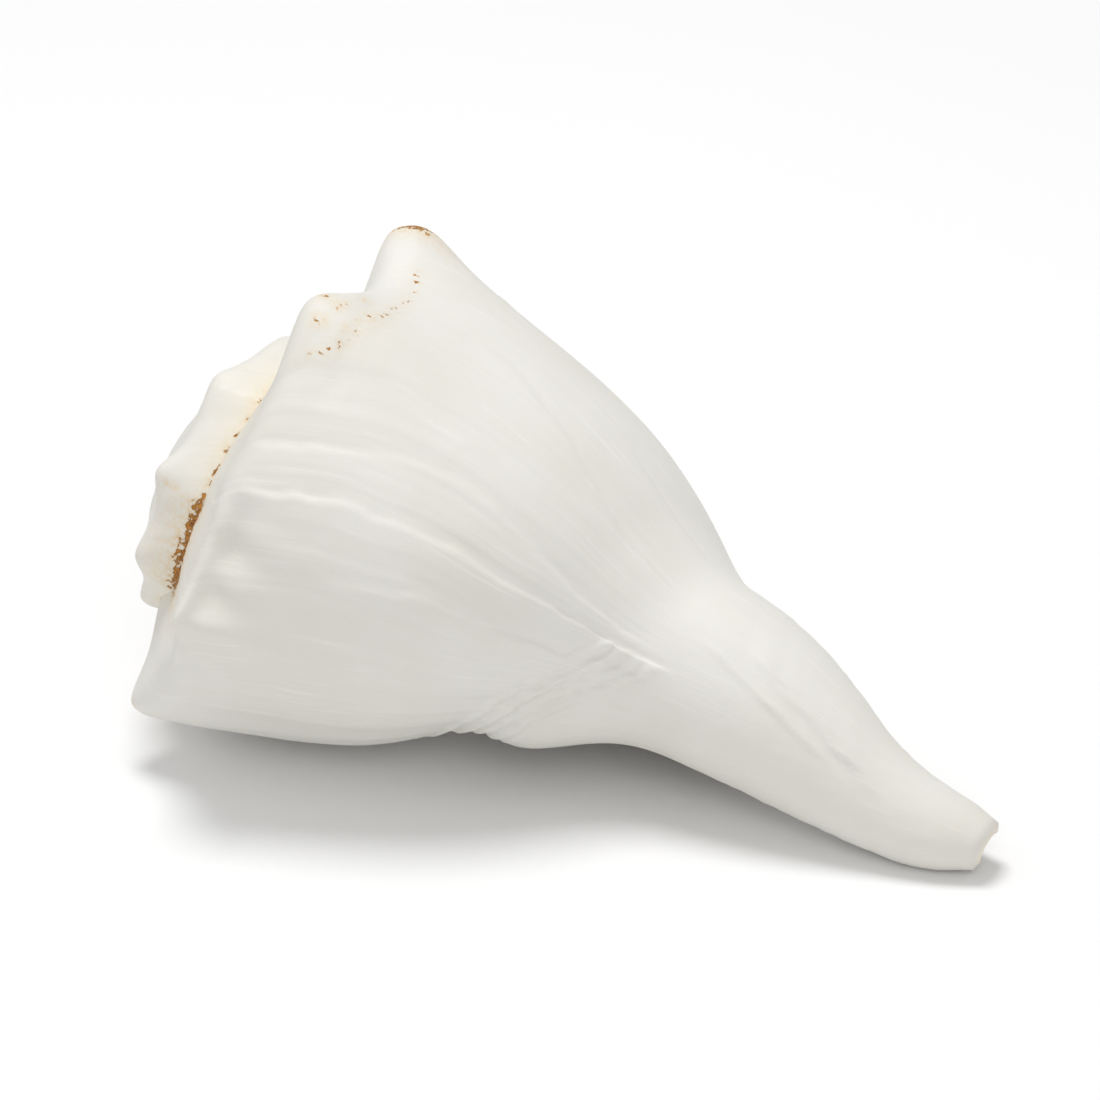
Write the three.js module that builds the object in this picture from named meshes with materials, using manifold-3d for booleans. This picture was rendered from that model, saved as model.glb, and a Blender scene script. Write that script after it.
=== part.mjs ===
// A bleached, worn knobbed whelk: a left-handed sea shell with a low spire, a knobbed shoulder,
// a wide body whorl and a long open canal. It is one grown piece, lying on its opening.
// Lengths are in millimetres. The shell is laid out along its own axis, which runs from the
// apex (0) to the canal tip, and is then turned into the pose in which it lies, +Z up.

import * as THREE from 'three';
import { mergeVertices } from 'three/addons/utils/BufferGeometryUtils.js';
import Module from 'manifold-3d';

// Growth: every turn is a copy of the one before it, larger by one factor about the apex.
const GROWTH_PER_TURN = 1.904;
const FULL_SIZE_ANGLE = 90;
const LIP_ANGLE = 173;

// Outline of the body whorl at full size, as [distance along the axis, radius]: from the apex
// up the inside of the spire, over the suture and the shoulder, down the belly to the neck.
const OUTLINE = [
  [10, 0], [13, 9.5], [16, 18.5], [18.5, 27.5], [22.5, 35.5], [26.8, 44.5], [30.4, 52], [34.5, 54.8],
  [40, 55.4], [48, 55.2], [58, 53.7], [67, 51.7], [75, 49.2], [82.5, 46.2], [89.5, 42.4],
  [96, 38], [102.5, 32.6], [109.5, 26.5], [116, 19.5], [124, 11], [132, 3],
];
const INNER_POLE = 6;
const SHOULDER_ROW = 6.4;
const SHOULDER_REACH_UP = 1.5;
const SHOULDER_REACH_DOWN = 2.9;
const BELLY_ROW = 9.5;

// Knobs on the shoulder, as [angle, outward reach, reach along the axis, half width in degrees].
const BODY_KNOBS = [
  [-165, 4, -3, 10], [-122, 6.6, -4, 10], [-78, 6.5, -6, 10], [-31, 5.6, 0.6, 10],
  [46, 7.6, -4.6, 13], [88, 8, -8.5, 11], [119, 9.5, 3, 13], [158, 4.5, 2, 12],
];
const SPIRE_KNOBS = [
  [-165, 3, -3, 13], [-122, 3, -3, 13], [-78, 3, -3, 13], [-35, 3.6, -2.4, 11], [3, 2.4, -5, 10],
  [44, 4.5, -3.5, 12], [88, 2, -1, 14], [128, 3, -3, 13], [165, 3, -3, 13],
];

// Finer forms of the body whorl's shoulder, as [angle, half width, row, reach in rows, move along
// the axis, move outwards]: a crest beside the front knob and its hollowed flank, a rib down the
// ramp from the next knob, and the squared top of the largest knob.
const SHOULDER_FORMS = [
  [-27, 30, 6.2, 1.6, 2.2, 0], [-27, 30, 3, 1.2, 0.7, 0], [-27, 30, 6.1, 0.6, 0, 1.2],
  [-31, 5, 6.1, 0.6, 0, 1.8], [-15, 18, 7.5, 0.9, 0, -2.3], [-69, 13, 4.3, 1.9, -3.4, 0],
  [91, 9, 7.5, 0.9, 0, 2.2],
];

// The spire: the turn next to the body swells out and sits lower, and the older ones follow it.
const SPIRE_SWELL = 0.165;
const SPIRE_SETTLE = 5.6;
const SPIRE_EASE = 70;
const SPIRE_POLE = 3;
const SPIRE_OVERLAP = 5;
const SPIRE_TUCK = 1.012;
const APEX_RADIUS = 4;
const APEX_CENTRE = 3.6;

// The canal, as [distance along the axis, offset of its centre line, half width].
const CANAL = [
  [60, 9.5, 12], [75, 9.5, 16], [90, 9.2, 18], [100, 8.8, 18.6], [115, 8, 18.2], [124, 7.2, 17.8],
  [134.6, 5.7, 16.3], [142.8, 3.7, 14.6], [149, 1.8, 12.8], [157.5, -0.4, 10.4], [168, -1.8, 8.7],
  [175, -1.2, 7.4], [180, -0.6, 5.6], [182, -0.5, 3],
];
const TIP = 182.5;
const CANAL_FLATNESS = 0.92;
const NECK_BLEND = 9;

// The swelling round the neck on the side of the opening, left by earlier canal ends.
const SWELLING = { height: 13, angle: -80, spread: 48, along: 86, length: 16 };

// The hollow: wall thickness, how far back it winds from the lip, and the open canal's groove.
const WALL = 2.8;
const HOLLOW_TURN = 318;
const HOLLOW_FLOOR = 122;
const HOLLOW_PAST_LIP = 0.5;
const GROOVE_REACH = 40;

// The canal's open groove, as [distance along the axis, half width, angle of its open side].
const GROOVE = [
  [78, 0.8, 210], [86, 4, 212], [94, 6.4, 213], [104, 7.6, 212], [115, 7.4, 209], [128, 6.6, 204],
  [140, 5.6, 198], [150, 5, 192], [160, 4.2, 180], [168, 3.6, 172], [176, 3.2, 172], [190, 2.8, 172],
];

// The pose: how steeply the axis drops to the tip, and which side lies underneath.
const AXIS_DROP = 13;
const UNDERSIDE_ANGLE = 233.6;
const WEAR = 0.35;

const KNOB_POWER = 1.7;
const STRETCH_POWER = 2.2;
const SAME_POINT = 1e-4;
const SHORTEST_EDGE = 0.06;
const GROOVE_FLOOR_STEPS = 6;
const APEX_DETAIL = 2;
const BODY_STEPS = 60;
const BODY_ROWS = 34;
const SPIRE_STEPS = [42, 34, 26];
const SPIRE_ROWS = 24;
const HOLLOW_STEPS = 36;
const HOLLOW_ROWS = 30;

const wasm = await Module();
wasm.setup();

const radians = THREE.MathUtils.degToRad;

function growth(angle) {
  return GROWTH_PER_TURN ** ((angle - FULL_SIZE_ANGLE) / 360);
}

// Value of column `column` in a table whose first column rises, by straight lines between rows.
function lookUp(table, x, column) {
  const row = table.findIndex((entry) => entry[0] >= x);
  if (row === 0) return table[0][column];
  if (row < 0) return table[table.length - 1][column];
  const [low, high] = [table[row - 1], table[row]];
  return THREE.MathUtils.mapLinear(x, low[0], high[0], low[column], high[column]);
}

// Rounded maximum, which blends two surfaces over the distance `blend`.
function blendMax(a, b, blend) {
  const h = THREE.MathUtils.clamp(0.5 + (0.5 * (a - b)) / blend, 0, 1);
  return b * (1 - h) + a * h + blend * h * (1 - h);
}

// Radius of the canal's outside at one angle: an offset ellipse, with the swelling on it.
function canalRadius(angle, along) {
  const offset = lookUp(CANAL, along, 1);
  const half = lookUp(CANAL, along, 2);
  const [x, y] = [Math.cos(radians(angle)), Math.sin(radians(angle))];
  const a = (x / CANAL_FLATNESS) ** 2 + y ** 2;
  const root = Math.sqrt((offset * y) ** 2 - a * (offset ** 2 - half ** 2));
  const turn = THREE.MathUtils.euclideanModulo(angle - SWELLING.angle + 180, 360) - 180;
  const fade = Math.exp(-((turn / SWELLING.spread) ** 2) - ((along - SWELLING.along) / SWELLING.length) ** 2);
  return (offset * y + root) / a + SWELLING.height * fade;
}

// Bell that is 1 at `centre` and falls away over `reach`.
function bell(x, centre, reach, power) {
  return Math.exp(-(Math.abs((x - centre) / reach) ** power));
}

// One section of the shell's outside at a growth angle, as [along, radius] rows.
function section(angle, rows, knobs, forms) {
  const size = growth(angle);
  const lastRow = OUTLINE.length - 1;
  const curve = new THREE.SplineCurve(OUTLINE.map((p) => new THREE.Vector2(...p)));
  const body = curve.getPoints(rows).map((point, i) => {
    const row = (i / rows) * lastRow;
    const reach = row < SHOULDER_ROW ? SHOULDER_REACH_UP : SHOULDER_REACH_DOWN;
    const moved = [point.x * size, point.y * size];
    for (const [at, out, lean, width] of knobs) {
      const bump = bell(row, SHOULDER_ROW, reach, 2) * bell(angle, at, width, KNOB_POWER);
      moved[0] += lean * bump;
      moved[1] += out * bump;
    }
    for (const [at, width, formRow, rowReach, lean, out] of forms) {
      const share = bell(row, formRow, rowReach, 2) * bell(angle, at, width, KNOB_POWER);
      moved[0] += lean * share;
      moved[1] += out * share;
    }
    return moved;
  });
  const end = body[rows][0];
  return body.map(([along, radius], i) => {
    if (i === 0) return [INNER_POLE, 0];
    const row = (i / rows) * lastRow;
    const stretch = Math.max(0, (row - BELLY_ROW) / (lastRow - BELLY_ROW)) ** STRETCH_POWER;
    if (stretch === 0) return [along, radius];
    const drawn = along + (TIP - end) * stretch;
    const still = drawn > end ? 0 : lookUp(body, drawn, 1);
    return [drawn, i === rows ? 0 : blendMax(still, canalRadius(angle, drawn), NECK_BLEND)];
  });
}

function bodySection(angle, rows) {
  return section(angle, rows, BODY_KNOBS, SHOULDER_FORMS);
}

// One section of a spire turn, counted from 1 next to the body whorl, at its own small size.
function spireSection(angle, turn) {
  const shrink = (SPIRE_TUCK * GROWTH_PER_TURN) ** turn;
  const ease = turn === 1 ? THREE.MathUtils.smoothstep(LIP_ANGLE - angle, 0, SPIRE_EASE) : 1;
  const swell = (1 + SPIRE_SWELL * ease) / shrink;
  const settle = SPIRE_SETTLE * ease * GROWTH_PER_TURN ** (angle / 360 - turn + 1);
  return section(angle, SPIRE_ROWS, SPIRE_KNOBS, [])
    .map(([along, radius], i) => (i === 0 ? [SPIRE_POLE, 0] : [along * swell - settle, radius * swell]));
}

// One section of the hollow: the outside moved inwards by the wall, as far down as the neck.
function hollowSection(angle) {
  const outside = bodySection(angle, HOLLOW_ROWS);
  const floorRow = outside.findIndex(([along]) => along > HOLLOW_FLOOR);
  const rows = Array.from({ length: HOLLOW_ROWS }, (_, i) => {
    const at = (i / HOLLOW_ROWS) * floorRow;
    const [low, high] = [outside[Math.floor(at)], outside[Math.floor(at) + 1]];
    return [0, 1].map((k) => THREE.MathUtils.lerp(low[k], high[k], at % 1));
  });
  const moved = rows.slice(1).map(([along, radius], i) => {
    const before = rows[i];
    const after = rows[Math.min(rows.length - 1, i + 2)];
    const length = Math.hypot(after[0] - before[0], after[1] - before[1]);
    const share = WALL / length;
    return [along + share * (after[1] - before[1]), radius - share * (after[0] - before[0])];
  });
  return [[INNER_POLE + WALL, 0], ...moved, [HOLLOW_FLOOR, 0]];
}

// A point of the shell at an angle counted from `origin`, exact where the two agree.
function placed(angle, origin, along, radius) {
  const turn = radians(THREE.MathUtils.euclideanModulo(angle - origin, 360));
  return new THREE.Vector3(along, radius * Math.sin(turn), radius * Math.cos(turn));
}

function toSolid(geometry) {
  geometry.deleteAttribute('normal');
  geometry.deleteAttribute('uv');
  const merged = mergeVertices(geometry, SAME_POINT);
  const corners = merged.index.array;
  const kept = [];
  for (let i = 0; i < corners.length; i += 3) {
    const [a, b, c] = corners.slice(i, i + 3);
    if (a !== b && b !== c && c !== a) kept.push(a, b, c);
  }
  const mesh = new wasm.Mesh({
    numProp: 3,
    vertProperties: new Float32Array(merged.attributes.position.array),
    triVerts: new Uint32Array(kept),
  });
  return new wasm.Manifold(mesh);
}

// A closed solid from rows of points: sides between neighbouring rows, and a flat cap, whose
// triangles are given, on the first row and on the last.
function solidFromRows(rows, capTriangles) {
  const size = rows[0].length;
  const index = [];
  for (let i = 0; i < rows.length - 1; i += 1) {
    for (let j = 0; j < size; j += 1) {
      const [a, b] = [i * size + j, i * size + ((j + 1) % size)];
      index.push(a, b + size, a + size, a, b, b + size);
    }
  }
  const last = (rows.length - 1) * size;
  for (const [a, b, c] of capTriangles(rows[0])) index.push(a, b, c);
  for (const [a, b, c] of capTriangles(rows[rows.length - 1])) index.push(last + a, last + c, last + b);
  const geometry = new THREE.BufferGeometry();
  const positions = rows.flat().flatMap((p) => [p.x, p.y, p.z]);
  geometry.setAttribute('position', new THREE.Float32BufferAttribute(positions, 3));
  geometry.setIndex(index);
  return toSolid(geometry);
}

// Triangles of a section's flat face, which lies in a half plane through the axis.
function sectionCap(points) {
  const flat = points.map((p) => new THREE.Vector2(p.x, Math.hypot(p.y, p.z)));
  return THREE.ShapeUtils.triangulateShape(flat, []);
}

// The solid swept by the section from one angle to the next, with a flat face at each end.
function sweep(angles, origin, sectionAt) {
  const rows = angles.map((angle) => sectionAt(angle).map(([u, r]) => placed(angle, origin, u, r)));
  return solidFromRows(rows, sectionCap);
}

// One whole turn of the outside, which ends at the angle `end`, from two half turns.
function outerTurn(end, steps, sectionAt) {
  const angles = Array.from({ length: steps + 1 }, (_, i) => end - 360 + (360 * i) / steps);
  const half = steps / 2;
  return sweep(angles.slice(0, half + 1), end, sectionAt)
    .add(sweep(angles.slice(half - 1), end, sectionAt))
    .rotate([LIP_ANGLE - end, 0, 0]);
}

// The open groove of the canal: a round-bottomed channel that runs out through one side.
function canalGroove() {
  const rings = GROOVE.map(([along, half, openSide]) => {
    const offset = lookUp(CANAL, along, 1);
    const out = placed(openSide, LIP_ANGLE, 0, 1);
    const side = placed(openSide - 90, LIP_ANGLE, 0, 1);
    const centre = placed(90, LIP_ANGLE, 0, 1).multiplyScalar(offset);
    centre.x = along;
    const at = (across, outwards) => {
      return centre.clone().addScaledVector(side, across).addScaledVector(out, outwards);
    };
    const floor = Array.from({ length: GROOVE_FLOOR_STEPS + 1 }, (_, i) => {
      const angle = (Math.PI * i) / GROOVE_FLOOR_STEPS;
      return at(half * Math.cos(angle), -half * Math.sin(angle));
    });
    return [at(-half, GROOVE_REACH), at(half, GROOVE_REACH), ...floor];
  });
  return solidFromRows(rings, (ring) => ring.slice(2).map((_, i) => [0, i + 2, i + 1]));
}

function shellSolid() {
  const body = outerTurn(LIP_ANGLE, BODY_STEPS, (angle) => bodySection(angle, BODY_ROWS));
  const spire = SPIRE_STEPS.map((steps, i) => {
    return outerTurn(LIP_ANGLE + SPIRE_OVERLAP * (i + 1), steps, (angle) => spireSection(angle, i + 1));
  });
  const firstStep = [LIP_ANGLE - 360, LIP_ANGLE - 360 + 360 / BODY_STEPS];
  const inner = sweep(firstStep, LIP_ANGLE, (angle) => bodySection(angle, BODY_ROWS));
  const hollowAngles = Array.from({ length: HOLLOW_STEPS + 1 }, (_, i) => {
    return LIP_ANGLE + HOLLOW_PAST_LIP - HOLLOW_TURN * (1 - i / HOLLOW_STEPS);
  });
  const hollow = sweep(hollowAngles, LIP_ANGLE, hollowSection).subtract(spire[0]).subtract(inner);
  const ball = new THREE.IcosahedronGeometry(APEX_RADIUS, APEX_DETAIL).translate(APEX_CENTRE, 0, 0);
  const whole = spire.reduce((sum, turn) => sum.add(turn), body).add(toSolid(ball));
  return largestPiece(whole.subtract(hollow).subtract(canalGroove()));
}

// Drops the crumbs that a cut leaves where two surfaces graze each other.
function largestPiece(solid) {
  return solid.decompose().reduce((best, piece) => (piece.volume() > best.volume() ? piece : best));
}

// Turns a solid from the shell's own axes into the lying pose.
function layDown(solid) {
  const drop = radians(AXIS_DROP);
  const axis = new THREE.Vector3(Math.cos(drop), 0, -Math.sin(drop));
  const under = new THREE.Vector3(-Math.sin(drop), 0, -Math.cos(drop));
  const sideways = new THREE.Vector3(0, -1, 0);
  const turned = (angle) => under.clone()
    .multiplyScalar(Math.cos(radians(angle - UNDERSIDE_ANGLE)))
    .addScaledVector(sideways, Math.sin(radians(angle - UNDERSIDE_ANGLE)));
  const matrix = new THREE.Matrix4().makeBasis(axis, turned(LIP_ANGLE + 90), turned(LIP_ANGLE));
  return solid.transform(matrix.toArray());
}

// Lets the shell down onto the ground and wears its lowest points flat.
function standOnGround(solid) {
  const { min, max } = solid.boundingBox();
  const moved = solid.translate([-(min[0] + max[0]) / 2, -(min[1] + max[1]) / 2, -min[2] - WEAR]);
  const below = toSolid(new THREE.BoxGeometry(400, 400, 100).translate(0, 0, -50));
  return moved.subtract(below);
}

// One round of removing edges shorter than SHORTEST_EDGE: each is drawn into its first corner,
// where the two corners share exactly two neighbours and nothing near them has moved already.
function dropShortEdges(triangles, pointAt) {
  const around = new Map();
  for (const triangle of triangles) {
    for (const corner of triangle) around.set(corner, [...(around.get(corner) ?? []), triangle]);
  }
  const neighbours = (corner) => new Set(around.get(corner).flat().filter((other) => other !== corner));
  const moved = new Set();
  for (const triangle of triangles) {
    for (let i = 0; i < 3; i += 1) {
      const [keep, drop] = [triangle[i], triangle[(i + 1) % 3]];
      if (keep === drop || moved.has(keep) || moved.has(drop)) continue;
      if (pointAt(keep).distanceTo(pointAt(drop)) > SHORTEST_EDGE) continue;
      const [a, b] = [neighbours(keep), neighbours(drop)];
      if ([...a].filter((corner) => b.has(corner)).length !== 2) continue;
      for (const corner of [...a, ...b]) moved.add(corner);
      for (const other of around.get(drop)) other[other.indexOf(drop)] = keep;
    }
  }
  return triangles.filter((t) => t[0] !== t[1] && t[1] !== t[2] && t[2] !== t[0]);
}

function toGeometry(solid) {
  const mesh = solid.getMesh();
  const positions = new THREE.BufferAttribute(mesh.vertProperties, 3);
  const pointAt = (corner) => new THREE.Vector3().fromBufferAttribute(positions, corner);
  let triangles = [];
  for (let i = 0; i < mesh.triVerts.length; i += 3) triangles.push([...mesh.triVerts.slice(i, i + 3)]);
  for (let before = Infinity; triangles.length < before;) {
    before = triangles.length;
    triangles = dropShortEdges(triangles, pointAt);
  }
  const geometry = new THREE.BufferGeometry();
  geometry.setAttribute('position', positions);
  geometry.setIndex(triangles.flat());
  return geometry;
}

const chalkyShell = new THREE.MeshStandardMaterial({ color: '#e6e2da', roughness: 0.55, metalness: 0 });
const shell = new THREE.Mesh(toGeometry(standOnGround(layDown(shellSolid()))), chalkyShell);
shell.name = 'shell';

const group = new THREE.Group();
group.add(shell);

export default group;
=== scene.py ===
import math

import bpy
import numpy as np
from mathutils import Matrix, Vector, kdtree


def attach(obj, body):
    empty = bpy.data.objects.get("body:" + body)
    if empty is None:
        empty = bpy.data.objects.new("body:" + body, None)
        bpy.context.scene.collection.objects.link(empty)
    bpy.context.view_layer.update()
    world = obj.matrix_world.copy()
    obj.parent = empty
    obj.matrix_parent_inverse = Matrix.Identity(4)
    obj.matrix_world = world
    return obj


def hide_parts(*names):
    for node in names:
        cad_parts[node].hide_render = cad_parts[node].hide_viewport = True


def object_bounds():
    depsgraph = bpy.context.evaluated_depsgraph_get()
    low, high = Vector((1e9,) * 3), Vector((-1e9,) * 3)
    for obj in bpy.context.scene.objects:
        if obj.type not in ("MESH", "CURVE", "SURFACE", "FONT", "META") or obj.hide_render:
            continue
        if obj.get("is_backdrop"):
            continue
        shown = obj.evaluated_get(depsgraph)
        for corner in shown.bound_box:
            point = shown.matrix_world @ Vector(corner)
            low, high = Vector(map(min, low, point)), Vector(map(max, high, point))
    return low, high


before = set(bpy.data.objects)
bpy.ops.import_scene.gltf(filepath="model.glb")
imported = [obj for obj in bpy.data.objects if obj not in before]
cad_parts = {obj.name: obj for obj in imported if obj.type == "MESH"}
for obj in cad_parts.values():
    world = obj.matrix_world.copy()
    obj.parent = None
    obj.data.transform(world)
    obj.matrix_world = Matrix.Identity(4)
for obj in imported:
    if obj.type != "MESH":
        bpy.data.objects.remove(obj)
cad_low, cad_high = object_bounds()

# --- Shell ------------------------------------------------------------------------------------
# One grown piece: the empty shell of a large left-handed knobbed whelk, a wall of calcium
# carbonate laid down at the lip, turn after turn, with an open canal at its narrow end. It has
# lain in the sea and the sun, so it is bleached, worn on its knobs and stained in its seam.

# The spiral, in mm and degrees: angles are growth angles, which count back along the spire.
GROWTH_PER_TURN = 1.904
FULL_SIZE_ANGLE = 90
LIP_ANGLE = 173
INNER_POLE = 6
APEX_RADIUS = 4
APEX_CENTRE = 3.6
SPIRE_TURNS = 4
SPIRE_OVERLAP = 5
SPIRE_TUCK = 1.012
SPIRE_POLE = 3
SPIRE_SWELL = 0.165
SPIRE_SETTLE = 5.6
SPIRE_EASE = 70
SPIRE_RELIEF = 0.8
SPIRE_MARKS_TURNED = 37
PLAIN_ENDS = 6
OUTLINE = [
    (10, 0), (13, 9.5), (16, 18.5), (18.5, 27.5), (22.5, 35.5), (26.8, 44.5), (30.4, 52),
    (34.5, 54.8), (40, 55.4), (48, 55.2), (58, 53.7), (67, 51.7), (75, 49.2), (82.5, 46.2),
    (89.5, 42.4), (96, 38), (102.5, 32.6), (109.5, 26.5), (116, 19.5), (124, 11), (132, 3),
]

# The knobs, as (angle, how far out, lean towards the tip, half width in degrees).
KNOB_POWER = 1.7
SHOULDER_ROW = 6.4
SHOULDER_REACH_UP = 1.5
SHOULDER_REACH_DOWN = 2.9
BELLY_ROW = 9.5
STRETCH_POWER = 2.2
BODY_KNOBS = [
    (-165, 4, -3, 10), (-122, 6.6, -4, 10), (-78, 6.5, -6, 10), (-31, 5.6, 0.6, 10),
    (46, 7.6, -4.6, 13), (88, 8, -8.5, 11), (119, 9.5, 3, 13), (158, 4.5, 2, 12),
]
SPIRE_KNOBS = [
    (-165, 3, -3, 13), (-122, 3, -3, 13), (-78, 3, -3, 13), (-35, 3.6, -2.4, 11), (3, 2.4, -5, 10),
    (44, 4.5, -3.5, 12), (88, 2, -1, 14), (128, 3, -3, 13), (165, 3, -3, 13),
]

# The canal, as (distance along the axis, how far off the axis, half width).
CANAL = [
    (60, 9.5, 12), (75, 9.5, 16), (90, 9.2, 18), (100, 8.8, 18.6), (115, 8, 18.2),
    (124, 7.2, 17.8), (134.6, 5.7, 16.3), (142.8, 3.7, 14.6), (149, 1.8, 12.8),
    (157.5, -0.4, 10.4), (168, -1.8, 8.7), (175, -1.2, 7.4), (180, -0.6, 5.6), (182, -0.5, 3),
]
TIP = 182.5
CANAL_FLATNESS = 0.92
CANAL_EASE = 4
NECK_BLEND = 9
SWELLING_HEIGHT, SWELLING_ANGLE, SWELLING_SPREAD = 13, -80, 48
SWELLING_ALONG, SWELLING_LENGTH = 86, 16


def growth(angle):
    return GROWTH_PER_TURN ** ((angle - FULL_SIZE_ANGLE) / 360)


def smooth_curve(points, places):
    """Points of a curve through evenly counted points, at places counted the same way."""
    points = np.array(points, float)
    last = len(points) - 1
    start = np.clip(np.floor(places).astype(int), 0, last - 1)
    t = (places - start)[:, None]
    before, a, b, after = (points[np.clip(start + k, 0, last)] for k in (-1, 0, 1, 2))
    leave, arrive = (b - before) / 2, (after - a) / 2
    cubic = 2 * a - 2 * b + leave + arrive
    square = 3 * b - 3 * a - 2 * leave - arrive
    return cubic * t**3 + square * t**2 + leave * t + a


def canal_value(along, column):
    table = np.array(CANAL, float)
    shifts = (-CANAL_EASE, -CANAL_EASE / 2, 0, CANAL_EASE / 2, CANAL_EASE)
    return sum(np.interp(along + s, table[:, 0], table[:, column]) for s in shifts) / len(shifts)


def canal_radius(angle, along):
    """Radius of the canal's outside: an offset ellipse, with the swelling of the neck on it."""
    offset, half = canal_value(along, 1), canal_value(along, 2)
    x, y = np.cos(np.radians(angle)), np.sin(np.radians(angle))
    a = (x / CANAL_FLATNESS) ** 2 + y**2
    root = np.sqrt((offset * y) ** 2 - a * (offset**2 - half**2))
    turn = (angle - SWELLING_ANGLE + 180) % 360 - 180
    fade = np.exp(-((turn / SWELLING_SPREAD) ** 2) - ((along - SWELLING_ALONG) / SWELLING_LENGTH) ** 2)
    return (offset * y + root) / a + SWELLING_HEIGHT * fade


def window(x, low, high, soft):
    """1 from low to high, falling to 0 over `soft` on both sides."""
    rise, fall = np.clip((x - low) / soft + 1, 0, 1), np.clip((high - x) / soft + 1, 0, 1)
    return rise * rise * (3 - 2 * rise) * fall * fall * (3 - 2 * fall)


def crested(angle, along, radius, rows):
    """Sharpens the shoulder beside the front knob into a crest over a hollowed flank, carries the
    next knob down the ramp as a rib, and squares the top of the largest knob."""
    near = window(angle, -46, -8, 15)
    ramp = 2.2 * np.exp(-(((rows - 6.2) / 1.6) ** 2)) + 0.7 * np.exp(-(((rows - 3) / 1.2) ** 2))
    rib = np.exp(-(np.abs((angle + 69) / 13) ** KNOB_POWER)) * np.exp(-(((rows - 4.3) / 1.9) ** 2))
    corner = np.exp(-(np.abs((angle + 31) / 5) ** KNOB_POWER))
    keel = (1.2 + 1.8 * corner) * np.exp(-(np.abs((rows - 6.1) / 0.6) ** 1.5))
    flutes = 0.55 * np.cos(np.radians(angle + 31) * 28) * np.exp(-(((rows - 7.8) / 1.4) ** 2))
    hollow = 2.3 * np.exp(-(((rows - 7.5) / 0.9) ** 2)) * window(angle, -27, -4, 12)
    cap = np.exp(-(np.abs((angle - 91) / 9) ** KNOB_POWER)) * np.exp(-(((rows - 7.5) / 0.9) ** 2))
    return along + near * ramp - 3.4 * rib, radius + near * (keel + flutes - hollow) + 2.2 * cap


def outside(angles, rows, knobs):
    """Distance along the axis and radius of the outside, for each growth angle and outline row."""
    angle, size = angles[:, None], growth(angles)[:, None]
    along, radius = smooth_curve(OUTLINE, rows).T
    reach = np.where(rows < SHOULDER_ROW, SHOULDER_REACH_UP, SHOULDER_REACH_DOWN)
    fade = np.exp(-(((rows - SHOULDER_ROW) / reach) ** 2))
    along, radius = along * size, radius * size
    for at, out, lean, width in knobs:
        bump = fade * np.exp(-(np.abs((angle - at) / width) ** KNOB_POWER))
        along, radius = along + lean * bump, radius + out * bump
    along, radius = crested(angle, along, radius, rows) if knobs is BODY_KNOBS else (along, radius)
    last = len(OUTLINE) - 1
    stretch = np.clip((rows - BELLY_ROW) / (last - BELLY_ROW), 0, None) ** STRETCH_POWER
    drawn = along + (TIP - along[:, -1:]) * stretch
    still = np.array([np.interp(d, a, r, right=0) for d, a, r in zip(drawn, along, radius)])
    canal = canal_radius(angle, drawn)
    h = np.clip(0.5 + 0.5 * (still - canal) / NECK_BLEND, 0, 1)
    necked = canal * (1 - h) + still * h + NECK_BLEND * h * (1 - h)
    radius = np.where(stretch > 0, necked, radius)
    drawn[:, 0], radius[:, 0] = INNER_POLE, 0
    drawn[:, -1], radius[:, -1] = TIP, 0
    return drawn, radius


def ripple(place, spacing, seed):
    """Smooth seeded noise from -1 to 1 along one direction."""
    values = np.random.default_rng(seed).uniform(-1, 1, 2048)
    x = np.asarray(place) / spacing
    low = np.floor(x).astype(int)
    t = x - low
    t = t * t * (3 - 2 * t)
    return values[low % 2048] * (1 - t) + values[(low + 1) % 2048] * t


def mottle(x, y, spacing, seed):
    """Smooth seeded noise from -1 to 1 over a surface."""
    values = np.random.default_rng(seed).uniform(-1, 1, (256, 256))
    x, y = np.broadcast_arrays(x / spacing, y / spacing)
    i, j = np.floor(x).astype(int), np.floor(y).astype(int)
    s, t = x - i, y - j
    s, t = s * s * (3 - 2 * s), t * t * (3 - 2 * t)
    at = lambda a, b: values[(i + a) % 256, (j + b) % 256]
    top = at(0, 0) * (1 - s) + at(1, 0) * s
    return top * (1 - t) + (at(0, 1) * (1 - s) + at(1, 1) * s) * t


# Where the lip once stood still: each old edge as (distance along the axis, angle) places.
FIRST_LIP = [(24, -2.6), (30, 2.9), (47.6, 9.5), (66, 12), (80.7, 11.8), (100, 15), (108.5, 15.5)]
SECOND_LIP = [(32, 14.6), (54.4, 24.7), (68, 28.8), (89.6, 24.2), (102.8, 23.3)]
LOWER_LIP = [(53.8, -8.6), (70.6, -2.7), (92, -3.5)]
SIDE_LIP = [(61, 65), (80, 58), (96, 50)]
LATE_LIP = [(91, 77), (105.7, 80)]

# As (line, rise in mm, reach on the older side in degrees, waver in degrees, seed).
OLD_LIPS = [
    (FIRST_LIP, 0.8, 8, 0.6, 21), (SECOND_LIP, 0.35, 4, 0.6, 24), (LOWER_LIP, 0.3, 3, 0.7, 27),
    (SIDE_LIP, 0.2, 4, 0.5, 30), (LATE_LIP, 0.18, 4, 0.5, 33),
]

# Ridges that slant over the canal, as (start along the axis, height up its side, drop a mm, seed).
CANAL_RIDGES = [(121, 11.5, 0.385, 40), (128, 14.5, 0.45, 41), (132, 11.2, 0.42, 42)]


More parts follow.
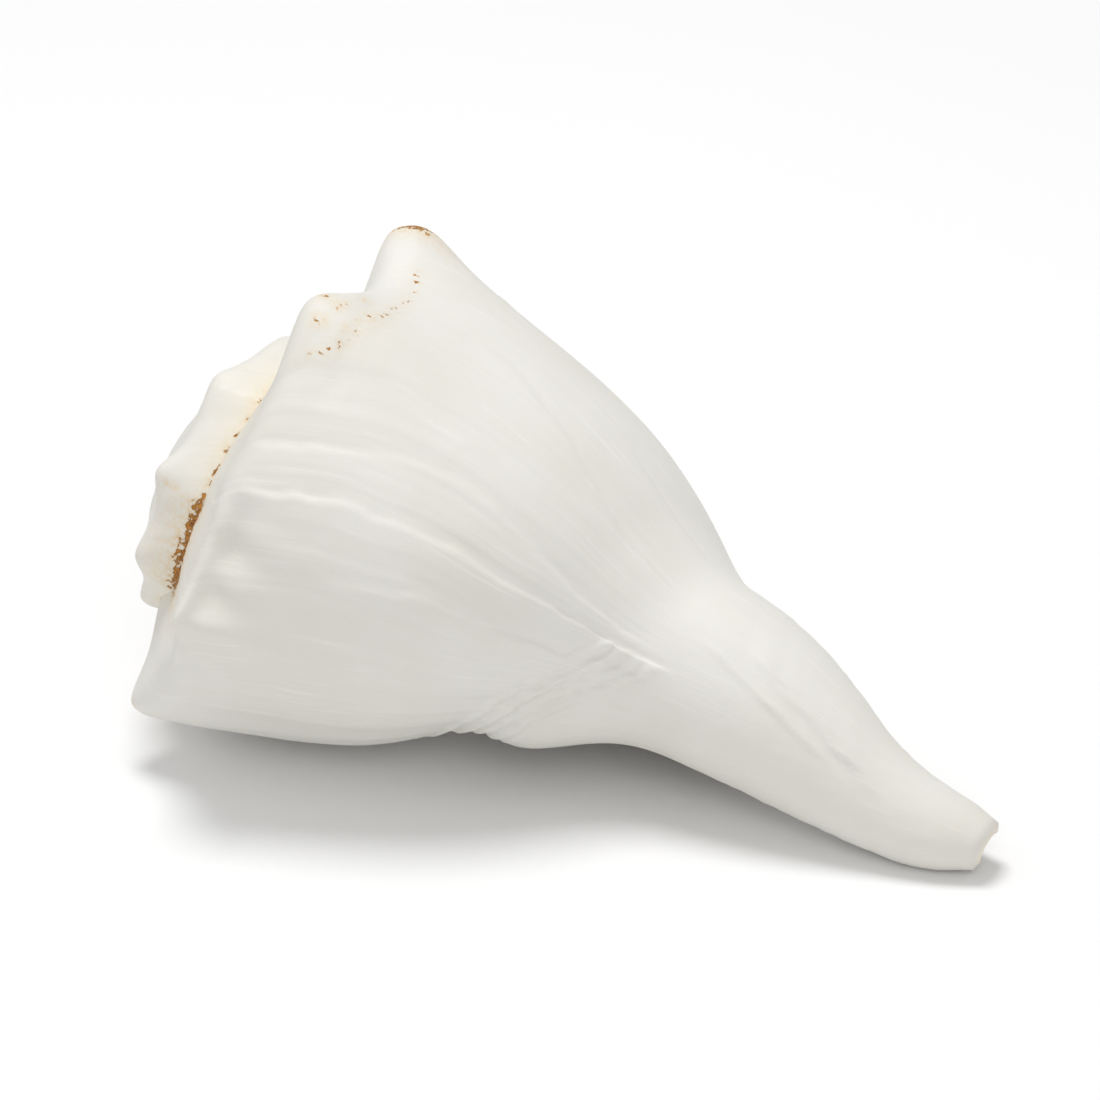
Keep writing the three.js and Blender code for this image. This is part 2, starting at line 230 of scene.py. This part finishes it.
def old_lip(angle, along, line, rise, reach, waver, seed):
    """Height of an old lip: a raised edge that fades on the older side, and a groove beyond it."""
    line = np.array(line, float)
    across = angle - np.interp(along, line[:, 0], line[:, 1]) + waver * ripple(along, 3.1, seed)
    across = across + 0.25 * waver * ripple(along, 1.3, seed + 1)
    raised = np.exp(np.minimum(across, 0) / reach) / (1 + np.exp(np.clip(across / 0.22, -40, 40)))
    groove = np.exp(-(((across - 1.8) / 2.2) ** 2)) * (0.6 + 0.6 * window(along, 64, 96, 14))
    ends = window(along, line[0, 0], line[-1, 0], 7)
    strength = 0.75 + 0.25 * ripple(along, 9, seed + 2)
    return rise * ends * strength * (raised - 0.7 * groove)


def growth_place(angle, along):
    """Growth angle of the lip that laid down a point, because the lip's edge isn't straight."""
    line = np.array(FIRST_LIP, float)
    return angle - np.interp(along, line[:, 0], line[:, 1]) + 0.5 * mottle(along, angle, 14, 5)


def relief(angle, along, radius):
    """Height in mm of the growth marks over the plain form of the body turn."""
    angle = np.broadcast_to(angle, along.shape)
    place = growth_place(angle, along)
    lines = 0.04 * ripple(place, 0.95, 11) + 0.08 * ripple(place, 1.9, 12)
    lines = lines + 0.13 * ripple(place, 4.2, 13) + 0.3 * ripple(place, 11, 14)
    rough = 0.4 + 0.55 * window(angle, -60, 30, 20) - 0.15 * window(angle, 60, 150, 20)
    rough = rough * (1 - 0.92 * window(along, 114, 200, 16))
    turn_back = along - (79 + (angle + 75) * 0.286)
    glazed = window(turn_back, 7.5, 40, 3) * window(angle, -110, 14, 8) * window(along, 70, 122, 6)
    heights = lines * rough * (1 - 0.85 * glazed) * (1 + 0.35 * mottle(along, angle, 9, 15))
    for lip in OLD_LIPS:
        heights = heights + old_lip(angle, along, *lip)
    fold = turn_back + 0.5 * mottle(along, angle, 6, 36)
    folds = 0.6 * np.abs(np.cos(np.pi * fold / 3.3)) ** 2 * window(fold, -4, 8, 2.5)
    heights = heights + (folds + 0.4 * np.exp(-((fold / 1.1) ** 2))) * window(angle, -80, 12, 7)
    side = radius * np.sin(np.radians(angle))
    facing = window(np.cos(np.radians(angle)), 0.25, 2, 0.3)
    for start, height, drop, seed in CANAL_RIDGES:
        off = side - height + drop * (along - start) + 0.5 * ripple(along, 4, seed)
        bank = np.exp(np.minimum(-off, 0) / 3) / (1 + np.exp(-off / 0.3))
        ridge = 0.5 * np.exp(-((off / 0.7) ** 2)) + 0.35 * bank
        ridge = ridge * (0.8 + 0.35 * ripple(along, 5, seed + 3))
        heights = heights + ridge * window(along, start + 4, start + 22, 8) * facing
    crossing = 0.08 * ripple(along + 0.3 * side, 1.25, 45) + 0.12 * ripple(along + 0.3 * side, 3.4, 46)
    heights = heights + crossing * window(along, 126, 176, 8)
    creases = 0.22 * ripple(along + 0.12 * angle, 1.5, 55) + 0.2 * ripple(along - 0.2 * angle, 3.2, 56)
    heights = heights + creases * window(angle, 33, 56, 8) * window(along, 18, 38, 4)
    settled = np.clip((along - 20) / 8, 0.35, 1) * np.clip((TIP - along) / 6, 0, 1)
    return heights * settled


def plain_ends(angles):
    """Fades the marks out at both ends of a turn, where it meets its neighbours."""
    from_end = np.minimum(angles - angles[0], angles[-1] - angles)
    return np.clip(from_end / PLAIN_ENDS, 0, 1)[:, None]


def pushed_out(along, radius, heights):
    """Moves each point of a section by its height, square to the section's own line."""
    du, dr = np.gradient(along, axis=1), np.gradient(radius, axis=1)
    length = np.maximum(np.hypot(du, dr), 1e-9)
    inner = (slice(None), slice(1, -1))
    moved_along, moved_radius = along.copy(), radius.copy()
    moved_along[inner] -= (heights * dr / length)[inner]
    moved_radius[inner] += (heights * du / length)[inner]
    return moved_along, np.maximum(moved_radius, 0)


def placed(angle, along, radius):
    """Points on the shell's own axes, counted from the lip so that its plane is exact."""
    turn = np.radians((angle - LIP_ANGLE) % 360)
    return np.stack([along, radius * np.sin(turn), radius * np.cos(turn)], axis=-1)


def solid(name, points, faces):
    mesh = bpy.data.meshes.new(name)
    mesh.from_pydata(points.tolist(), [], faces)
    made = bpy.data.objects.new(name, mesh)
    bpy.context.scene.collection.objects.link(made)
    return made


def swept(name, grid):
    """The closed solid through a grid of sections that all start and end on the axis."""
    columns, rows = grid.shape[:2]
    inner = rows - 2
    points = np.concatenate([grid[0, :1], grid[0, -1:], grid[:, 1:-1].reshape(-1, 3)])
    at = lambda i, j: 2 + i * inner + j
    faces = []
    for i in range(columns - 1):
        faces.append((0, at(i, 0), at(i + 1, 0)))
        faces.extend((at(i, j), at(i, j + 1), at(i + 1, j + 1), at(i + 1, j)) for j in range(inner - 1))
        faces.append((at(i, inner - 1), 1, at(i + 1, inner - 1)))
    faces.append((1, *[at(0, j) for j in reversed(range(inner))], 0))
    faces.append((0, *[at(columns - 1, j) for j in range(inner)], 1))
    return solid(name, points, faces)


def combine(piece, other, operation):
    """Joins or cuts `piece` with `other`, which is used up."""
    step = piece.modifiers.new("step", "BOOLEAN")
    step.operation, step.object, step.solver = operation, other, "MANIFOLD"
    graph = bpy.context.evaluated_depsgraph_get()
    mesh = bpy.data.meshes.new_from_object(piece.evaluated_get(graph))
    piece.modifiers.clear()
    piece.data = mesh
    bpy.data.objects.remove(other)
    return piece


def whole_turn(name, angles, along, radius, turn):
    """One turn of the outside, in two sweeps that share a step, shrunk and turned into place."""
    shrink = (SPIRE_TUCK * GROWTH_PER_TURN) ** turn
    grid = placed(angles[:, None] - SPIRE_OVERLAP * turn, along / shrink, radius / shrink)
    half = len(angles) // 2
    made = swept(name, grid[: half + 1])
    return combine(made, swept(name, grid[half - 1 :]), "UNION"), grid


# The body turn is finer where its marks are crowded; angles and outline rows are in order.
body_angles = np.concatenate([
    np.linspace(LIP_ANGLE - 360, -104, 50), np.linspace(-103.2, 112, 256),
    np.linspace(113.5, LIP_ANGLE, 36),
])
body_rows = np.concatenate([
    [0], np.linspace(0.6, 2.4, 5), np.linspace(2.6, 9.4, 46), np.linspace(9.6, 11.5, 12),
    np.linspace(11.57, 15.2, 70), np.linspace(15.3, 20, 52),
])
body_along, body_radius = outside(body_angles, body_rows, BODY_KNOBS)
body_heights = relief(body_angles[:, None], body_along, body_radius)
body_heights = body_heights * plain_ends(body_angles)
pushed_along, pushed_radius = pushed_out(body_along, body_radius, body_heights)
shell, body_grid = whole_turn("shell_wall", body_angles, pushed_along, pushed_radius, 0)

# Every point of every surface is kept with its growth angle, place along the axis and turn.
known = [(body_grid, body_angles[:, None], body_along, 0)]
SPIRE_COLUMNS = (281, 201, 141, 101)
SPIRE_ROWS = (50, 38, 28, 20)
spire = []
for turn in range(1, SPIRE_TURNS + 1):
    end = LIP_ANGLE + SPIRE_OVERLAP * turn
    angles = np.linspace(end - 360, end, SPIRE_COLUMNS[turn - 1])
    rows = np.concatenate([
        [0], np.linspace(0.7, 2.2, 4), np.linspace(2.5, 10, SPIRE_ROWS[turn - 1]),
        np.linspace(10.5, 20, 14),
    ])
    along, radius = outside(angles, rows, SPIRE_KNOBS)
    heights = SPIRE_RELIEF * relief(angles[:, None] - SPIRE_MARKS_TURNED * turn, along, radius)
    heights = heights * plain_ends(angles)
    along, radius = pushed_out(along, radius, heights)
    shrink = (SPIRE_TUCK * GROWTH_PER_TURN) ** turn
    older = np.clip((LIP_ANGLE - angles) / SPIRE_EASE, 0, 1)[:, None] if turn == 1 else 1
    older = older * older * (3 - 2 * older)
    radius = radius * (1 + SPIRE_SWELL * older)
    settle = SPIRE_SETTLE * older * growth(angles - 360 * turn)[:, None] / growth(-360) * shrink
    along = along * (1 + SPIRE_SWELL * older) - settle
    along[:, 0] = SPIRE_POLE * shrink
    made, grid = whole_turn("spire", angles, along, radius, turn)
    spire.append(made)
    known.append((grid, angles[:, None] - 360 * turn, along, turn))
first_spire = spire[0].copy()
first_spire.data = spire[0].data.copy()
bpy.context.scene.collection.objects.link(first_spire)
for made in spire:
    combine(shell, made, "UNION")

bpy.ops.mesh.primitive_ico_sphere_add(subdivisions=4, radius=APEX_RADIUS, location=(APEX_CENTRE, 0, 0))
apex = bpy.context.object
apex.data.transform(apex.matrix_world)
apex.matrix_world = Matrix.Identity(4)
combine(shell, apex, "UNION")

# The hollow, left by the animal: the outside moved in by the wall, less the turn inside it.
WALL = 2.8
HOLLOW_TURN = 318
HOLLOW_FLOOR = 122
HOLLOW_PAST_LIP = 0.5


def hollow_sections(angles, count):
    along, radius = outside(angles, np.linspace(0, len(OUTLINE) - 1, 201), BODY_KNOBS)
    sections = []
    for a, r in zip(along, radius):
        end = np.interp(HOLLOW_FLOOR, a[60:], np.arange(60, len(a)))
        at = np.linspace(0, end, count)
        a, r = np.interp(at, np.arange(len(a)), a), np.interp(at, np.arange(len(r)), r)
        da, dr = np.gradient(a), np.gradient(r)
        length = np.hypot(da, dr)
        a, r = a + WALL * dr / length, r - WALL * da / length
        a[0], r[0] = INNER_POLE + WALL, 0
        a[-1], r[-1] = HOLLOW_FLOOR, 0
        sections.append((a, r))
    sections = np.array(sections)
    return sections[:, 0], sections[:, 1]


hollow_end = LIP_ANGLE + HOLLOW_PAST_LIP
hollow_angles = np.linspace(hollow_end - HOLLOW_TURN, hollow_end, 131)
hollow_along, hollow_radius = hollow_sections(hollow_angles, 72)
hollow_grid = placed(hollow_angles[:, None], hollow_along, hollow_radius)
hollow = swept("hollow", hollow_grid)
combine(hollow, first_spire, "DIFFERENCE")
combine(hollow, swept("inner_turn", body_grid[:4]), "DIFFERENCE")
combine(shell, hollow, "DIFFERENCE")
known.append((hollow_grid, hollow_angles[:, None], hollow_along, -1))

# The canal's open groove, as (distance along the axis, half width, angle of its open side).
GROOVE_REACH = 40
GROOVE = [
    (78, 0.8, 210), (86, 4, 212), (94, 6.4, 213), (104, 7.6, 212), (115, 7.4, 209), (128, 6.6, 204),
    (140, 5.6, 198), (150, 5, 192), (160, 4.2, 180), (168, 3.6, 172), (176, 3.2, 172), (190, 2.8, 172),
]
groove_places = np.linspace(GROOVE[0][0], GROOVE[-1][0], 57)
groove_table = np.array(GROOVE, float)
groove_half = np.interp(groove_places, groove_table[:, 0], groove_table[:, 1])
groove_open = np.interp(groove_places, groove_table[:, 0], groove_table[:, 2])
rings = []
for place, half, opening in zip(groove_places, groove_half, groove_open):
    centre = placed(90, place, np.float64(np.interp(place, *np.array(CANAL, float).T[:2])))
    out, side = placed(opening, 0, 1), placed(opening - 90, 0, 1)
    bend = np.linspace(0, math.pi, 13)
    floor = [centre + side * half * math.cos(a) - out * half * math.sin(a) for a in bend]
    above = centre + out * GROOVE_REACH
    rings.append([above - side * half, above + side * half, *floor])
rings = np.array(rings)
count = rings.shape[1]
corner = lambda i, j: i * count + j % count
groove_faces = [
    (corner(i, j), corner(i, j + 1), corner(i + 1, j + 1), corner(i + 1, j))
    for i in range(len(rings) - 1) for j in range(count)
]
groove_faces.append(tuple(reversed(range(count))))
groove_faces.append(tuple((len(rings) - 1) * count + j for j in range(count)))
groove = solid("groove", rings.reshape(-1, 3), groove_faces)
combine(shell, groove, "DIFFERENCE")
known.append((rings, 0 * rings[..., 0], rings[..., 0], -1))

# Every point takes its growth angle, its place along the axis and its surface from the nearest
# point of the surfaces it was joined from.
places = np.concatenate([g.reshape(-1, 3) for g, _, _, _ in known])
angles = np.concatenate([np.broadcast_to(a, u.shape).ravel() for _, a, u, _ in known])
alongs = np.concatenate([u.ravel() for _, _, u, _ in known])
turns = np.concatenate([np.full(u.size, t) for _, _, u, t in known])
tree = kdtree.KDTree(len(places))
for i, place in enumerate(places):
    tree.insert(place, i)
tree.balance()
mesh = shell.data
points = np.zeros(len(mesh.vertices) * 3)
mesh.vertices.foreach_get("co", points)
points = points.reshape(-1, 3)
nearest = np.array([tree.find(p)[1] for p in points])
angle, along, turn = angles[nearest], alongs[nearest], turns[nearest]

# The seam is where one turn rises from under the next.
ends = np.zeros(len(mesh.edges) * 2, int)
mesh.edges.foreach_get("vertices", ends)
ends = ends.reshape(-1, 2)
crossing = (turn[ends[:, 0]] != turn[ends[:, 1]]) & (turn[ends].min(axis=1) >= 0)
seam_ends = ends[crossing]
seam = kdtree.KDTree(len(seam_ends))
for i, (a, b) in enumerate(seam_ends):
    seam.insert((points[a] + points[b]) / 2, i)
seam.balance()
found = [seam.find(p) for p in points]
seam_gap = np.array([gap for _, _, gap in found])
seam_own = seam_ends[[i for _, i, _ in found]]
seam_turn = turn[seam_own].min(axis=1)
one, other = seam_own[:, 0], seam_own[:, 1]
seam_angle = np.where(turn[one] == seam_turn, angle[one], angle[other])
seam_facing = (seam_angle + 180) % 360 - 180

# It lies on its open side, its axis dropping to the tip of the canal.
AXIS_DROP = 13
UNDERSIDE_ANGLE = 233.6
drop = math.radians(AXIS_DROP)
axis = np.array([math.cos(drop), 0, -math.sin(drop)])
under = np.array([-math.sin(drop), 0, -math.cos(drop)])


def towards(angle):
    turned = math.radians(angle - UNDERSIDE_ANGLE)
    return under * math.cos(turned) + np.array([0, -1, 0]) * math.sin(turned)


def laid_down(points):
    return points @ np.array([axis, towards(LIP_ANGLE + 90), towards(LIP_ANGLE)])


# It is brought to the frame's own box, and its lowest points are worn flat on the ground.
WEAR = 0.35
lying = laid_down(points)
low, high = lying.min(axis=0), lying.max(axis=0)
room = (np.array(cad_high) - np.array(cad_low)) * 1000
size = min(1, *(room / (high - low + np.array([0, 0, -WEAR]))))

middle = (np.array(cad_high) + np.array(cad_low)) / 2 * 1000
shift = middle - size * (low + high) / 2
shift[2] = cad_low[2] * 1000 - size * low[2] - WEAR


def in_metres(points):
    return (laid_down(points) * size + shift) / 1000


final = in_metres(points)
final[:, 2] = np.maximum(final[:, 2], cad_low[2])
mesh.vertices.foreach_set("co", final.ravel())


def keep(name, values, kind="FLOAT"):
    made = mesh.attributes.new(name, kind, "POINT")
    field = "vector" if kind == "FLOAT_VECTOR" else "value"
    made.data.foreach_set(field, np.ascontiguousarray(values, np.float32).ravel())


outer = turn >= 0
radius = np.hypot(points[:, 1], points[:, 2])
facing = angle + 360 * np.maximum(turn, 0)
keep("growth", np.stack([growth_place(facing, along), along, radius], axis=1), "FLOAT_VECTOR")
keep("inside", (~outer).astype(float))

# Iron from the sea floor has stained the seam: a deep rusty gutter by one knob, thinning to a
# line of dots. Each stretch is (from angle, to angle, strength, half width in mm).
SEAM_STAINS = [(-50, -8, 0.84, 1.8), (-6, 50, 0.5, 0.5), (50, 84, 0.48, 0.5), (84, 296, 0.25, 0.5)]
around = np.where(seam_facing < -64, seam_facing + 360, seam_facing)
rust, halo = np.zeros(len(points)), np.zeros(len(points))
for start, end, strength, half in SEAM_STAINS:
    here = window(around, start, end, 6) * strength
    rust = np.maximum(rust, here * np.exp(-((seam_gap / half) ** 2)))
    halo = np.maximum(halo, here * np.exp(-seam_gap / (half * 2.2)))
outermost = (seam_turn == 0) & outer
rust, halo = rust * np.where(outermost, 1, 0.35), halo * np.where(outermost, 1, 0.3)
creamy = 0.5 * np.exp(-seam_gap / 4) * outermost

# Worn places hold dirt: (angle, distance along the axis, half width in degrees, half length in mm,
# strength). The large knob is worn across its top, and the one before it is chipped on its crest.
LARGE_KNOB, WORN_KNOB, REAR_KNOB = 88, 46, -78
SCARS = [
    (LARGE_KNOB, 26, 2, 5, 1), (REAR_KNOB, 16, 1, 1.2, 0.8), (WORN_KNOB + 10, 25, 2.5, 2, 0.8),
    (WORN_KNOB + 2, 27, 1, 1.5, 0.6), (WORN_KNOB - 4, 29, 1, 1.2, 0.6),
]

# Small pits are scattered down the worn knob's flank, on the side towards the canal.
PITS = 8
PIT_ANGLE, PIT_ALONG, PIT_WIDE, PIT_LONG = WORN_KNOB + 3, 33, 6, 3.5
draw = np.random.default_rng(58)
for _ in range(PITS):
    off, out = draw.uniform(-1, 1, 2)
    SCARS.append((PIT_ANGLE + PIT_WIDE * off, PIT_ALONG + PIT_LONG * out, 0.8, 0.7, draw.uniform(0.6, 0.75)))
for at, place, wide, long, strength in SCARS:
    close = (turn == 0) & (np.abs(angle - at) < 1.5) & (np.abs(along - place) < 1.5)
    crest = radius[close].max()
    down_the_face = np.hypot(along - place, radius - crest) / long
    spot = np.exp(-(((angle - at) / wide) ** 2) - down_the_face**2) * (turn == 0)
    rust, halo = np.maximum(rust, strength * spot), np.maximum(halo, 0.8 * spot**0.35 * strength)

# The turn next to the body has one faint scar, half way up it.
FAINT_ANGLE, FAINT_ALONG, FAINT_WIDE, FAINT_LONG = 0, 11, 1, 2.5
off_scar = (facing - FAINT_ANGLE + 180) % 360 - 180
across_scar = off_scar * radius * math.pi / 180 / FAINT_WIDE
faint = np.exp(-(across_scar**2) - ((points[:, 0] - FAINT_ALONG) / FAINT_LONG) ** 2)
halo = np.maximum(halo, 0.55 * faint * (turn == 1))

# A line of dots runs round the foot of the worn knob, in an arc that opens towards the spire.
FOOT_ANGLE, FOOT_ALONG, FOOT_WIDE, FOOT_LONG = WORN_KNOB + 12, 30, 22, 8
sweep = np.radians(np.linspace(180, 30, 141))
trail = np.stack([FOOT_ANGLE + FOOT_WIDE * np.cos(sweep), FOOT_ALONG + FOOT_LONG * np.sin(sweep)], axis=1)
mm_a_degree = np.maximum(radius, 1) * math.pi / 180
near = (turn == 0) & (np.abs(angle - FOOT_ANGLE) < 30) & (np.abs(along - FOOT_ALONG) < 17)
gaps = np.full(len(points), 99.0)
away = np.hypot((angle[near, None] - trail[:, 0]) * mm_a_degree[near, None], along[near, None] - trail[:, 1])
gaps[near] = away.min(axis=1)
rust = np.maximum(rust, 0.5 * np.exp(-((gaps / 0.6) ** 2)))
halo = np.maximum(halo, 0.3 * np.exp(-gaps / 1.2))
keep("rust", rust)
keep("halo", np.clip(halo, 0, 1))
keep("creamy", creamy)
for polygon in mesh.polygons:
    polygon.use_smooth = True
mesh.set_sharp_from_angle(angle=math.radians(60))
mesh.update()

# Aragonite, the shell's own mineral, bleached and chalked by the sun: a matt white that goes
# faintly cream where dirt has stayed, with a finer polish inside, where nothing has rubbed it.
def colour(code):
    """An sRGB hex colour as linear red, green, blue and alpha."""
    parts = [int(code[i : i + 2], 16) / 255 for i in (1, 3, 5)]
    return (*[p / 12.92 if p <= 0.04045 else ((p + 0.055) / 1.055) ** 2.4 for p in parts], 1)


def add(tree, kind, settings, links=()):
    """Adds a node, sets its properties and inputs, and links its inputs to other nodes' outputs."""
    made = tree.nodes.new(kind)
    for name, value in settings.items():
        if isinstance(name, str) and hasattr(made, name):
            setattr(made, name, value)
        else:
            made.inputs[name].default_value = value
    for name, source in dict(links).items():
        tree.links.new(source, made.inputs[name])
    return made


shell_material = bpy.data.materials.new("sun_bleached_aragonite")
shell_material.use_nodes = True
tree = shell_material.node_tree
surface = tree.nodes["Principled BSDF"]
MM = 1000
FROM_MIN, FROM_MAX, TO_MIN, TO_MAX = 1, 2, 3, 4


def graded(value, low, high, low_to=0.0, high_to=1.0):
    """A value eased from one range into another."""
    settings = {
        "interpolation_type": "SMOOTHSTEP",
        FROM_MIN: low, FROM_MAX: high, TO_MIN: low_to, TO_MAX: high_to,
    }
    return add(tree, "ShaderNodeMapRange", settings, {0: value}).outputs[0]


def times(a, b):
    return add(tree, "ShaderNodeMath", {"operation": "MULTIPLY"}, {0: a, 1: b}).outputs[0]


def tinted(factor, below, above):
    """Lays the colour `above` over the colour or colours `below` where the factor says."""
    mix = add(tree, "ShaderNodeMix", {"data_type": "RGBA", 7: colour(above)}, {0: factor})
    if isinstance(below, str):
        mix.inputs[6].default_value = colour(below)
    else:
        tree.links.new(below, mix.inputs[6])
    return mix.outputs[2]


def kept(name):
    return add(tree, "ShaderNodeAttribute", {"attribute_name": name}).outputs


where = add(tree, "ShaderNodeTexCoord", {}).outputs["Object"]
growth_mark = kept("growth")["Vector"]

# Growth bands lie along the old lips: about 1 mm across them and 25 mm along them.
banding = add(tree, "ShaderNodeMapping", {"Scale": (0.75, 0.045, 0.04)}, {"Vector": growth_mark})
band_noise = {"Scale": 1.0, "Detail": 5, "Roughness": 0.62}
bands = add(tree, "ShaderNodeTexNoise", band_noise, {"Vector": banding.outputs[0]})
clouds = add(tree, "ShaderNodeTexNoise", {"Scale": 0.035 * MM, "Detail": 3}, {"Vector": where})
chalk = add(tree, "ShaderNodeTexNoise", {"Scale": 1.1 * MM, "Detail": 4, "Roughness": 0.7}, {"Vector": where})
crumbs = add(tree, "ShaderNodeTexNoise", {"Scale": 0.9 * MM, "Detail": 3, "Roughness": 0.6}, {"Vector": where})
holes = add(tree, "ShaderNodeTexVoronoi", {"Scale": 0.75 * MM}, {"Vector": where})

base = tinted(graded(clouds.outputs[0], 0.35, 0.7, 0, 0.7), "#DFDDD7", "#D9D6CD")
base = tinted(graded(bands.outputs[0], 0.5, 0.78, 0, 0.3), base, "#D9D3C6")
base = tinted(graded(bands.outputs[0], 0.45, 0.25, 0, 0.3), base, "#EFEEE9")
cream = times(kept("creamy")["Fac"], graded(clouds.outputs[0], 0.2, 0.6, 0.5, 1))
base = tinted(cream, base, "#EFE7D2")
base = tinted(kept("inside")["Fac"], base, "#E6DCCB")
halo = times(kept("halo")["Fac"], graded(crumbs.outputs[0], 0.36, 0.62, 0.15, 1))
base = tinted(halo, base, "#DDBC80")
crumbled = graded(crumbs.outputs[0], 0.3, 0.7, -0.42, 0.32)
rust = add(tree, "ShaderNodeMath", {"operation": "ADD"}, {0: kept("rust")["Fac"], 1: crumbled})
rusted = graded(rust.outputs[0], 0.42, 0.62)
base = tinted(rusted, base, "#C08432")
deep = times(graded(rust.outputs[0], 0.84, 1.04), graded(holes.outputs["Distance"], 0.62, 0.3))
base = tinted(deep, base, "#74420F")
tree.links.new(base, surface.inputs["Base Color"])

polish = graded(chalk.outputs[0], 0.3, 0.7, 0.5, 0.66)
inner_links = {0: kept("inside")["Fac"], 2: polish}
inner_polish = add(tree, "ShaderNodeMix", {"data_type": "FLOAT", 3: 0.32}, inner_links)
tree.links.new(inner_polish.outputs[0], surface.inputs["Roughness"])
surface.inputs["IOR"].default_value = 1.53
surface.inputs["Subsurface Weight"].default_value = 0.12
surface.inputs["Subsurface Radius"].default_value = (1.0, 0.8, 0.6)
surface.inputs["Subsurface Scale"].default_value = 0.002

grain = add(tree, "ShaderNodeBump", {"Strength": 0.18, "Distance": 0.00012}, {"Height": chalk.outputs[0]})
fine_links = {"Height": bands.outputs[0], "Normal": grain.outputs[0]}
fine_lines = add(tree, "ShaderNodeBump", {"Strength": 0.25, "Distance": 0.0002}, fine_links)
eaten_links = {"Height": graded(rust.outputs[0], 0.45, 0.9, 1, 0), "Normal": fine_lines.outputs[0]}
eaten = add(tree, "ShaderNodeBump", {"Strength": 0.9, "Distance": 0.0006}, eaten_links)
tree.links.new(eaten.outputs[0], surface.inputs["Normal"])
mesh.materials.clear()
mesh.materials.append(shell_material)

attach(shell, "root")
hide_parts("shell")

# --- Ground -----------------------------------------------------------------------------------
# A plain pale sheet, wide enough to run out of sight behind the shell.
bpy.ops.mesh.primitive_plane_add(size=6, location=(0, 0, cad_low[2]))
ground = bpy.context.object
ground.name = "ground"
ground_material = bpy.data.materials.new("white_paper")
ground_material.use_nodes = True
paper = ground_material.node_tree.nodes["Principled BSDF"]
paper.inputs["Base Color"].default_value = colour("#F1F1F1")
paper.inputs["Roughness"].default_value = 0.9
ground.data.materials.append(ground_material)
ground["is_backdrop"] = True

# --- Light ------------------------------------------------------------------------------------
# A white room with a broad soft light overhead and a weaker one in front.
world = bpy.data.worlds.new("studio")
bpy.context.scene.world = world
world.use_nodes = True
world.node_tree.nodes["Background"].inputs["Color"].default_value = (1, 1, 1, 1)
world.node_tree.nodes["Background"].inputs["Strength"].default_value = 0.56


def soft_light(name, place, width, watts):
    lamp = bpy.data.lights.new(name, "AREA")
    lamp.shape, lamp.size, lamp.energy = "DISK", width, watts
    made = bpy.data.objects.new(name, lamp)
    bpy.context.scene.collection.objects.link(made)
    made.location = place
    made.rotation_euler = (-Vector(place)).to_track_quat("-Z", "Y").to_euler()


soft_light("overhead_softbox", (-0.18, 0.1, 1.2), 0.5, 8)
soft_light("front_fill", (0.6, -1.0, 0.85), 0.9, 3.6)

# --- Camera -----------------------------------------------------------------------------------
VIEW_AZIMUTH, VIEW_ELEVATION = math.radians(25), math.radians(30)
VIEW_WIDTH = 0.2145
LENS, SENSOR = 200, 36
AIM_LEFT, AIM_DOWN = 0.0019, 0.0013
back = Vector((
    math.sin(VIEW_AZIMUTH) * math.cos(VIEW_ELEVATION),
    -math.cos(VIEW_AZIMUTH) * math.cos(VIEW_ELEVATION),
    math.sin(VIEW_ELEVATION),
))
right = Vector((math.cos(VIEW_AZIMUTH), math.sin(VIEW_AZIMUTH), 0))
up = back.cross(right)
across, height = final @ np.array(right), final @ np.array(up)
aim = right * (across.min() + across.max()) / 2 + up * (height.min() + height.max()) / 2
aim = aim - right * AIM_LEFT - up * AIM_DOWN
lens = bpy.data.cameras.new("view")
lens.lens, lens.sensor_width, lens.clip_end = LENS, SENSOR, 20
camera = bpy.data.objects.new("view", lens)
bpy.context.scene.collection.objects.link(camera)
camera.location = aim + back * (VIEW_WIDTH * LENS / SENSOR)
camera.rotation_euler = back.to_track_quat("Z", "Y").to_euler()
bpy.context.scene.camera = camera
bpy.context.scene.view_settings.view_transform = "Standard"

low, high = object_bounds()
